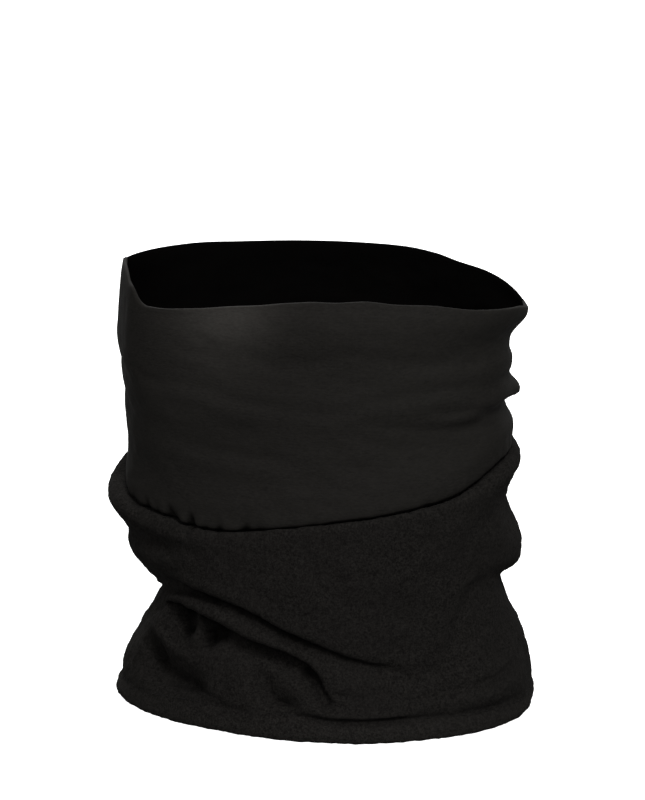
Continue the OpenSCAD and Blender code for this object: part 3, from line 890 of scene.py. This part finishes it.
def label_material():
    material, nodes, bsdf = new_material("white_ribbon")
    pos = nodes.add("ShaderNodeTexCoord").outputs["Object"]
    weft = nodes.add("ShaderNodeTexWave", {
        "Vector": pos, "Scale": 900.0, "Distortion": 0.6, "Detail": 2.0}, bands_direction="Z")
    warp = nodes.add("ShaderNodeTexWave", {
        "Vector": pos, "Scale": 1100.0, "Distortion": 0.6}, bands_direction="X")
    soil = nodes.noise(pos, scale=90.0, detail=4.0)
    colour = nodes.mix(nodes.remap(soil, 0.3, 0.8), (0.62, 0.61, 0.58), (0.53, 0.515, 0.48))
    weave = nodes.math("MULTIPLY", weft.outputs["Fac"], warp.outputs["Fac"])
    nodes.fill(bsdf, {
        "Base Color": colour, "Roughness": 0.5, "Sheen Weight": 0.2,
        "Normal": nodes.bump(weave, strength=0.4, distance=0.0001)})
    return material


FLEECE = fleece_material()
JERSEY = jersey_material()
SHADED_LINING = shaded_lining_material()
THREAD = thread_material()
LABEL = label_material()

# ---------------------------------------------------------------- cloth that settles
SETTLE_FRAMES = 18
GROWTH = 0.006       # how much too large the cloth is


def widen(rows, count, closed):
    """Cubic interpolation of a (rows, ...) array to count rows, over its whole length."""
    size = len(rows)
    s = np.arange(count) * ((size if closed else size - 1) / (count if closed else count - 1))
    whole = np.floor(s).astype(int)
    f = (s - np.floor(s)).reshape(-1, *([1] * (rows.ndim - 1)))

    def at(i):
        return rows[i % size] if closed else rows[np.clip(i, 0, size - 1)]

    p, q, r, u = (at(whole + k) for k in (-1, 0, 1, 2))
    return q + 0.5 * f * (r - p + f * (2 * p - 5 * q + 4 * r - u + f * (3 * (q - r) + u - p)))


def settle(sheet, hold, reach):
    """Simulates a sheet of cloth that closes round its second axis, a little too large for its
    place and held by the weights in hold. Returns how far each point moves, in millimetres,
    scaled so that the free parts move about reach."""
    count = sheet.shape[0]
    rows = np.linspace(0, count - 1, (count + 2) // 3).round().astype(int)
    columns = np.arange(0, sheet.shape[1], 4)
    coarse, weight = sheet[rows][:, columns], hold[rows][:, columns]
    index = np.arange(weight.size).reshape(weight.shape)
    obj = quad_object("settling_cloth", coarse, quads(index))
    group = obj.vertex_groups.new(name="hold")
    for k in range(weight.size):
        group.add([k], float(weight.flat[k]), "REPLACE")
    cloth = obj.modifiers.new("settle", "CLOTH")
    settings = cloth.settings
    settings.quality = 6
    settings.mass = 0.0004
    settings.tension_stiffness = settings.compression_stiffness = 12.0
    settings.shear_stiffness = 4.0
    settings.bending_stiffness = 0.08
    settings.air_damping = 2.0
    settings.vertex_group_mass = "hold"
    settings.pin_stiffness = 1.0
    settings.shrink_min = -GROWTH
    settings.effector_weights.gravity = 0.15
    cloth.collision_settings.use_collision = False
    cloth.point_cache.frame_start, cloth.point_cache.frame_end = 1, SETTLE_FRAMES
    scene = bpy.context.scene
    for frame_number in range(1, SETTLE_FRAMES + 1):
        scene.frame_set(frame_number)
    settled = obj.evaluated_get(bpy.context.evaluated_depsgraph_get())
    points = np.empty(weight.size * 3, np.float32)
    settled.data.vertices.foreach_get("co", points)
    mesh = obj.data
    bpy.data.objects.remove(obj)
    bpy.data.meshes.remove(mesh)
    scene.frame_set(1)
    move = points.reshape(coarse.shape).astype(float) / MM - coarse
    move *= (1 - smooth(weight, 0.75, 1.0))[..., None]
    far = np.linalg.norm(move, axis=2)
    fine = widen(move, count, False).swapaxes(0, 1)
    fine = widen(fine, sheet.shape[1], True).swapaxes(0, 1)
    size = np.linalg.norm(fine, axis=2, keepdims=True)
    scale = reach[..., None] / max(float(np.percentile(far[weight < 0.5], 80)), 0.05)
    return fine * np.minimum(scale, 1.6 * reach[..., None] / np.maximum(size, 1e-6))


def follow(outer, move, inner):
    """The inner face moves with the outer one at the same angle and height."""
    out = inner.copy()
    for j in range(inner.shape[1]):
        order = np.argsort(outer[:, j, 2])
        for k in range(3):
            out[:, j, k] += np.interp(inner[:, j, 2], outer[order, j, 2], move[order, j, k])
    return out


def free_reach(angle, front, back):
    """The cloth moves little in front and at the sides and more at the back."""
    return front + (back - front) * smooth(np.sin(np.radians(angle)), 0.15, 0.6)


# ---------------------------------------------------------------- fleece piece
def settle_fleece(angle, outer, inner, layer):
    z, around = upright(outer), np.broadcast_to(angle, layer.shape)
    ditch, join, fold_a = Z_DITCH(angle), Z_JOIN(angle), Z_FOLD_A(angle)
    # held: hem and join, both folds, the front left pouch, the seam and label
    ends = 1 - smooth(z, ditch + 3, ditch + 11) * (1 - smooth(z, join - 15, join - 7))
    folded = (smooth(layer, 8, 10) * (1 - smooth(layer, 20, 22)) * SHUT_B(angle)
              + smooth(layer, 21, 23) * (1 - smooth(layer, 32, 34))
              * np.minimum(1, 2.5 * SHUT_A(angle)))
    drawn = plateau(turn(around, 232), 42) * (1 - smooth(z, fold_a - 4, fold_a + 8))
    sewn = np.maximum(bell(around, SEAM, 7),
                      plateau(turn(around, 80), 22) * (1 - smooth(z, 55, 64)))
    hold = np.clip(np.maximum.reduce([ends, folded, 0.97 * drawn, sewn]), 0, 1)
    reach = np.broadcast_to(free_reach(angle, front=0.32, back=0.8), z.shape)
    move = settle(outer, hold, reach)
    outer, inner = outer + move, follow(outer, move, inner)
    return outer, give_way(angle, outer, inner)


def build_fleece():
    angle = angles(440)
    outer, inner, layer = fleece_sheet(angle, 128, 62)
    outer, inner = settle_fleece(angle, outer, inner, layer)
    pile = 0.26 * noise(outer, 2.6, 21) + 0.16 * noise(outer, 1.5, 22) + 0.14 * noise(outer, 6.0, 23)
    outer = outer + normals(outer) * pile[..., None]
    inner = inner + normals(inner) * (0.22 * noise(inner, 3.0, 24))[..., None]
    cloth = np.concatenate([outer, inner])
    cloth[..., 2] = np.maximum(cloth[..., 2], 0.02)
    obj = closed_sheet("fleece_tube", cloth)
    obj.data.materials.append(FLEECE)
    return obj


# ---------------------------------------------------------------- jersey piece
def settle_jersey(angle, outer, inner):
    z, join, rim = upright(outer), Z_JOIN(angle), Z_RIM(angle)
    # held: join and rim, and the pointed tip at the right end
    ends = 1 - smooth(z, join + 3, join + 11) * (1 - smooth(z, rim - 12, rim - 4))
    tip = 0.97 * bell(np.broadcast_to(angle, z.shape), 0, 12) * plateau(z - 140, 14)
    hold = np.clip(np.maximum(ends, tip), 0, 1)
    reach = np.broadcast_to(free_reach(angle, front=0.24, back=0.5), z.shape)
    move = settle(outer, hold, reach)
    return outer + move, follow(outer, move, inner)


def build_jersey():
    angle = angles(420, dense=0.0)
    outer, inner = jersey_sheet(angle, 96, 46)
    outer, inner = settle_jersey(angle, outer, inner)
    cloth = np.concatenate([outer, inner])
    # the row where the lining starts: at the back it shows over the rim's edge
    edge = len(outer) + 1 - 3 * smooth(np.sin(np.radians(angle)), -0.02, 0.22)
    first, every = np.rint(edge).astype(int), np.arange(len(angle))
    part = np.abs(edge - first)[:, None]
    beside = first + np.where(edge > first, 1, -1)
    cloth[first, every] = cloth[first, every] * (1 - part) + cloth[beside, every] * part
    obj = closed_sheet("jersey_collar_cloth", cloth)
    obj.data.materials.append(JERSEY)
    # the inner face takes the lining whose near-black colour is painted shade
    obj.data.materials.append(SHADED_LINING)
    strip, column = np.divmod(np.arange(len(obj.data.polygons)), len(angle))
    lined = (strip >= first[column]).astype(np.int32)
    obj.data.polygons.foreach_set("material_index", lined)
    return obj


fleece = build_fleece()
jersey = build_jersey()


# ---------------------------------------------------------------- threads
def dashes(height, width, off, length):
    """A row of 150 stitches round the tube; height, width and off are functions of the angle."""
    count = 150
    span = length / 85.0 * 57.3  # length in degrees on a radius of 85
    sag = np.array([-0.35, -0.05, 0.05, -0.05, -0.35])
    paths = []
    for i in range(count):
        angle = i * 360.0 / count + np.linspace(-0.5, 0.5, 5) * span
        paths.append(place(angle, width(angle), off(angle) + sag, height(angle)))
    return paths


def hem_width(angle):
    return half_width(angle, Z_DITCH(angle), FLEECE_SIDES)


def overlock_loops():
    """Loops over the raw edges of the join's allowance."""
    count, lean = 120, 0.55
    off, rise = np.array([  # offset outwards and height over the join
        (-3.6, 2.55), (-5.2, 2.8), (-7.0, 2.75), (-7.95, 2.2), (-8.15, 0.6), (-8.15, -1.2),
        (-7.95, -3.0), (-7.0, -3.65), (-5.4, -3.7)]).T
    paths = []
    for i in range(count):
        angle = (i + 0.5) * 360.0 / count + np.linspace(-lean, lean, len(off))
        paths.append(place(angle, join_width(angle), off, Z_JOIN(angle) + rise))
    return paths


def seam_loops(bottom, top, pitch):
    """Loops over the side seam's allowance, inside the back wall."""
    profile = [  # x, and y from the allowance
        (-4.4, 2.3), (-4.3, 0.6), (-3.9, -0.15), (-2.4, -0.45), (0, -0.5), (2.4, -0.45),
        (3.9, -0.15), (4.3, 0.6), (4.4, 2.3)]
    paths = []
    for z in np.arange(bottom, top, pitch):
        off = -FLEECE_T - SEAM_RIB - behind_fold_a(SEAM, z)
        y = DEPTH * half_width(SEAM, z, FLEECE_SIDES) + off
        paths.append([(x, y + step, z + 0.12 * x) for x, step in profile])
    return paths


def bartack(bottom, top):
    """Close short stitches across the seam, one over the other."""
    angle = SEAM + np.linspace(-1.7, 1.7, 5)
    off = np.array([-0.2, 0.35, 0.35, 0.35, -0.2]) + seam_groove(angle) * 0.3
    paths = []
    for z in np.arange(bottom, top, 0.55):
        level = np.full(5, z)
        paths.append(place(angle, half_width(angle, level, FLEECE_SIDES), off, level + 0.1))
    return paths


SEAM_TOP = float(Z_JOIN(SEAM))
hem_needle = tubes("hem_topstitch", dashes(
    Z_DITCH, hem_width, lambda angle: -0.06 - 0.667 * DITCH_DEEP(angle), length=2.5), 0.24)
bobbin_dashes = dashes(Z_DITCH, hem_width, lambda angle: -2 * FLEECE_T + 1.15, length=2.5)
# the inner row leaves a gap at the seam
hem_bobbin = tubes("hem_bobbin_stitch",
                   [p for p in bobbin_dashes if abs(p[2][0]) > 5 or p[2][1] < 0], 0.22)
join_needle = tubes("join_stitch", dashes(
    lambda angle: Z_JOIN(angle) - 0.25, join_width, lambda angle: -3.0, length=2.4), 0.22)
overlock = tubes("join_overlock", overlock_loops(), 0.22)
seam_thread = tubes("side_seam_overlock", seam_loops(20, SEAM_TOP - 8, 2.6), 0.22)
hem_tack = tubes("hem_bartack_stitch", bartack(2.6, 7.0), 0.24)
join_tack = tubes("join_bartack_stitch", bartack(SEAM_TOP - 12, SEAM_TOP - 7.4), 0.24)

# ---------------------------------------------------------------- care label
LABEL_TILT = math.radians(19.588)   # lean about the X axis
LABEL_SWING = math.radians(-5)      # turn about the hinge
HINGE = np.array([2.6, 54.124, 37.0])
LABEL_WIDE, LABEL_TALL = 26.0, 30.0


def hang(points):
    """Leans points over and moves them to the hinge."""
    cos, sin = math.cos(LABEL_TILT), math.sin(LABEL_TILT)
    x, y, z = points[..., 0], points[..., 1], points[..., 2]
    return np.stack([x, y * cos - z * sin, y * sin + z * cos], -1) + HINGE


def label_points():
    """Outline of one ribbon folded at its free edge, repeated up its height."""
    columns, rows = 40, 24
    root, fold_at = 0.5, 0.975

    def leaf(start, stop, y):
        return [(root + LABEL_WIDE * s, y) for s in np.linspace(start, stop, columns)]

    bend = [(root + LABEL_WIDE * fold_at + 0.5 * math.sin(a), 0.42 * math.cos(a))
            for a in np.linspace(0.3, math.pi - 0.3, 6)]
    outline = np.array(leaf(0, fold_at, 0.42) + bend + leaf(fold_at, 0, -0.42)
                       + leaf(0, 0.972, -0.12) + leaf(0.972, 0, 0.12))
    z = np.linspace(-LABEL_TALL / 2, LABEL_TALL / 2, rows)[:, None] + np.zeros(len(outline))
    x, y = outline[None, :, 0], outline[None, :, 1]
    # a slight curl off the wall, and a soft wave along the free edge
    y = y + (-0.0016 * x**2 - 0.25 * (x / LABEL_WIDE) ** 2 * np.sin(z * 0.28 + 0.6))
    cos, sin = math.cos(LABEL_SWING), math.sin(LABEL_SWING)
    return hang(np.stack([x * cos - y * sin, x * sin + y * cos, z], -1))


def build_label():
    points = label_points()
    index = np.arange(points.shape[0] * points.shape[1]).reshape(points.shape[:2])
    ends = [index[0][::-1].tolist(), index[-1].tolist()]
    obj = polygon_object("care_label_ribbon", points.reshape(-1, 3), quads(index).tolist() + ends)
    obj.data.materials.append(LABEL)
    return obj


label = build_label()
label_tack = tubes("label_stitching", [
    hang(np.array([(0.0, 0.75, i * 2.5 + s) for s in (-0.9, -0.4, 0.4, 0.9)]))
    for i in range(-5, 6)], 0.22)
threads = (hem_needle, hem_bobbin, hem_tack, label_tack, join_needle, overlock, join_tack,
           seam_thread)
for thread in threads:
    thread.data.materials.append(THREAD)

# ---------------------------------------------------------------- bodies
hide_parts("fleece_lower", "fleece_upper")
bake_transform(fleece)
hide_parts("side_seam_thread_lower", "side_seam_thread_upper")
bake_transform(seam_thread)
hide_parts("jersey_collar")
for thread, node, body in (
        (hem_needle, "hem_needle_thread", "hem_section"),
        (hem_bobbin, "hem_bobbin_thread", "hem_section"),
        (hem_tack, "hem_bartack", "hem_section"),
        (label_tack, "label_stitch", "hem_section"),
        (join_needle, "join_needle_thread", "collar_section"),
        (overlock, "join_overlock_thread", "collar_section"),
        (join_tack, "join_bartack", "collar_section")):
    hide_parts(node)
    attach(thread, body)
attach(jersey, "collar_section")
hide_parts("care_label")
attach(label, "care_label")

# ---------------------------------------------------------------- studio
scene = bpy.context.scene
scene.view_settings.view_transform = "Standard"
scene.view_settings.look = "None"
scene.view_settings.exposure = 0.0
scene.view_settings.gamma = 1.0


def build_floor():
    """A pale floor that glows to the camera and is dim and grey to everything else."""
    bpy.ops.mesh.primitive_plane_add(size=30, location=(0, 0, 0))
    floor = bpy.context.object
    floor.name = "floor"
    material, nodes, bsdf = new_material("pale_floor")
    pale, dim = (0.80, 0.80, 0.80), (0.16, 0.16, 0.16)
    nodes.fill(bsdf, {
        "Base Color": (*pale, 1), "Roughness": 0.9, "Emission Color": (1, 1, 1, 1)})
    seen = nodes.add("ShaderNodeLightPath").outputs["Is Camera Ray"]
    nodes.fill(bsdf, {"Emission Strength": nodes.remap(seen, 0.0, 1.0, to=(0.04, 1.1))})
    nodes.fill(bsdf, {"Base Color": nodes.mix(seen, dim, pale)})
    floor.data.materials.append(material)


def build_world():
    """White to the camera, and a dim fill light to everything else."""
    world = bpy.data.worlds.new("studio")
    scene.world = world
    nodes = Nodes(world)
    output = nodes.add("ShaderNodeOutputWorld")
    background = nodes.add("ShaderNodeBackground", {"Color": (1, 1, 1, 1)})
    seen = nodes.add("ShaderNodeLightPath").outputs["Is Camera Ray"]
    nodes.fill(background, {"Strength": nodes.remap(seen, 0.0, 1.0, to=(0.10, 1.0))})
    nodes.fill(output, {0: background.outputs[0]})


def aim(obj, location, target):
    obj.location = location
    direction = Vector(target) - Vector(obj.location)
    obj.rotation_euler = direction.to_track_quat("-Z", "Y").to_euler()


def add_light(name, kind, location, target, **settings):
    data = bpy.data.lights.new(name, kind)
    for key, value in settings.items():
        setattr(data, key, value)
    obj = bpy.data.objects.new(name, data)
    scene.collection.objects.link(obj)
    aim(obj, location, target)


build_floor()
build_world()
for name, location, target_z, size, energy in (
        ("key", (0.28, -1.20, 1.36), 0.1, 0.55, 20),
        ("fill_right", (1.2, -1.3, 0.7), 0.1, 0.9, 8),
        ("fill_left", (-1.4, -1.2, 0.6), 0.1, 0.9, 2.4),
        ("soft_left", (-0.7, -1.25, 1.0), 0.15, 0.5, 5),
        ("back_key", (-0.3, 1.35, 1.2), 0.1, 0.7, 17),
        ("back_left", (-0.8, 1.4, 0.6), 0.1, 0.8, 3),
        ("back_right", (0.8, 1.4, 0.6), 0.1, 0.8, 3)):
    add_light(name, "AREA", location, (0, 0, target_z),
              shape="DISK", size=size, energy=energy, color=(1, 1, 1))
# a narrow beam on the rim, left of the middle of the front
add_light("rim_glow", "SPOT", (-0.25, -1.00, 1.15), (-0.0435, -0.062, 0.1972),
          energy=110, spot_size=math.radians(2.2), spot_blend=1.0, shadow_soft_size=0.014)

# ---------------------------------------------------------------- camera
ELEVATION = math.radians(16.0)   # above the horizon
DISTANCE = 1.5
CENTRE = Vector((0, 0, 0.097))
SENSOR, LENS = 36.0, 151.2       # millimetres
AIM_UP, AIM_LEFT = 3.69, 0.1125  # shift of the aim from the centre, millimetres on the sensor


def build_camera():
    back = Vector((0, -math.cos(ELEVATION), math.sin(ELEVATION)))
    right = Vector((1, 0, 0))
    up = right.cross(-back)
    data = bpy.data.cameras.new("camera")
    camera = bpy.data.objects.new("camera", data)
    scene.collection.objects.link(camera)
    data.sensor_fit = "AUTO"
    data.sensor_width = SENSOR
    data.lens = LENS
    camera.location = CENTRE + back * DISTANCE
    look = (-back + up * (AIM_UP / LENS) - right * (AIM_LEFT / LENS)).normalized()
    camera.rotation_euler = look.to_track_quat("-Z", "Y").to_euler()
    data.clip_start, data.clip_end = 0.01, 50
    scene.camera = camera


build_camera()
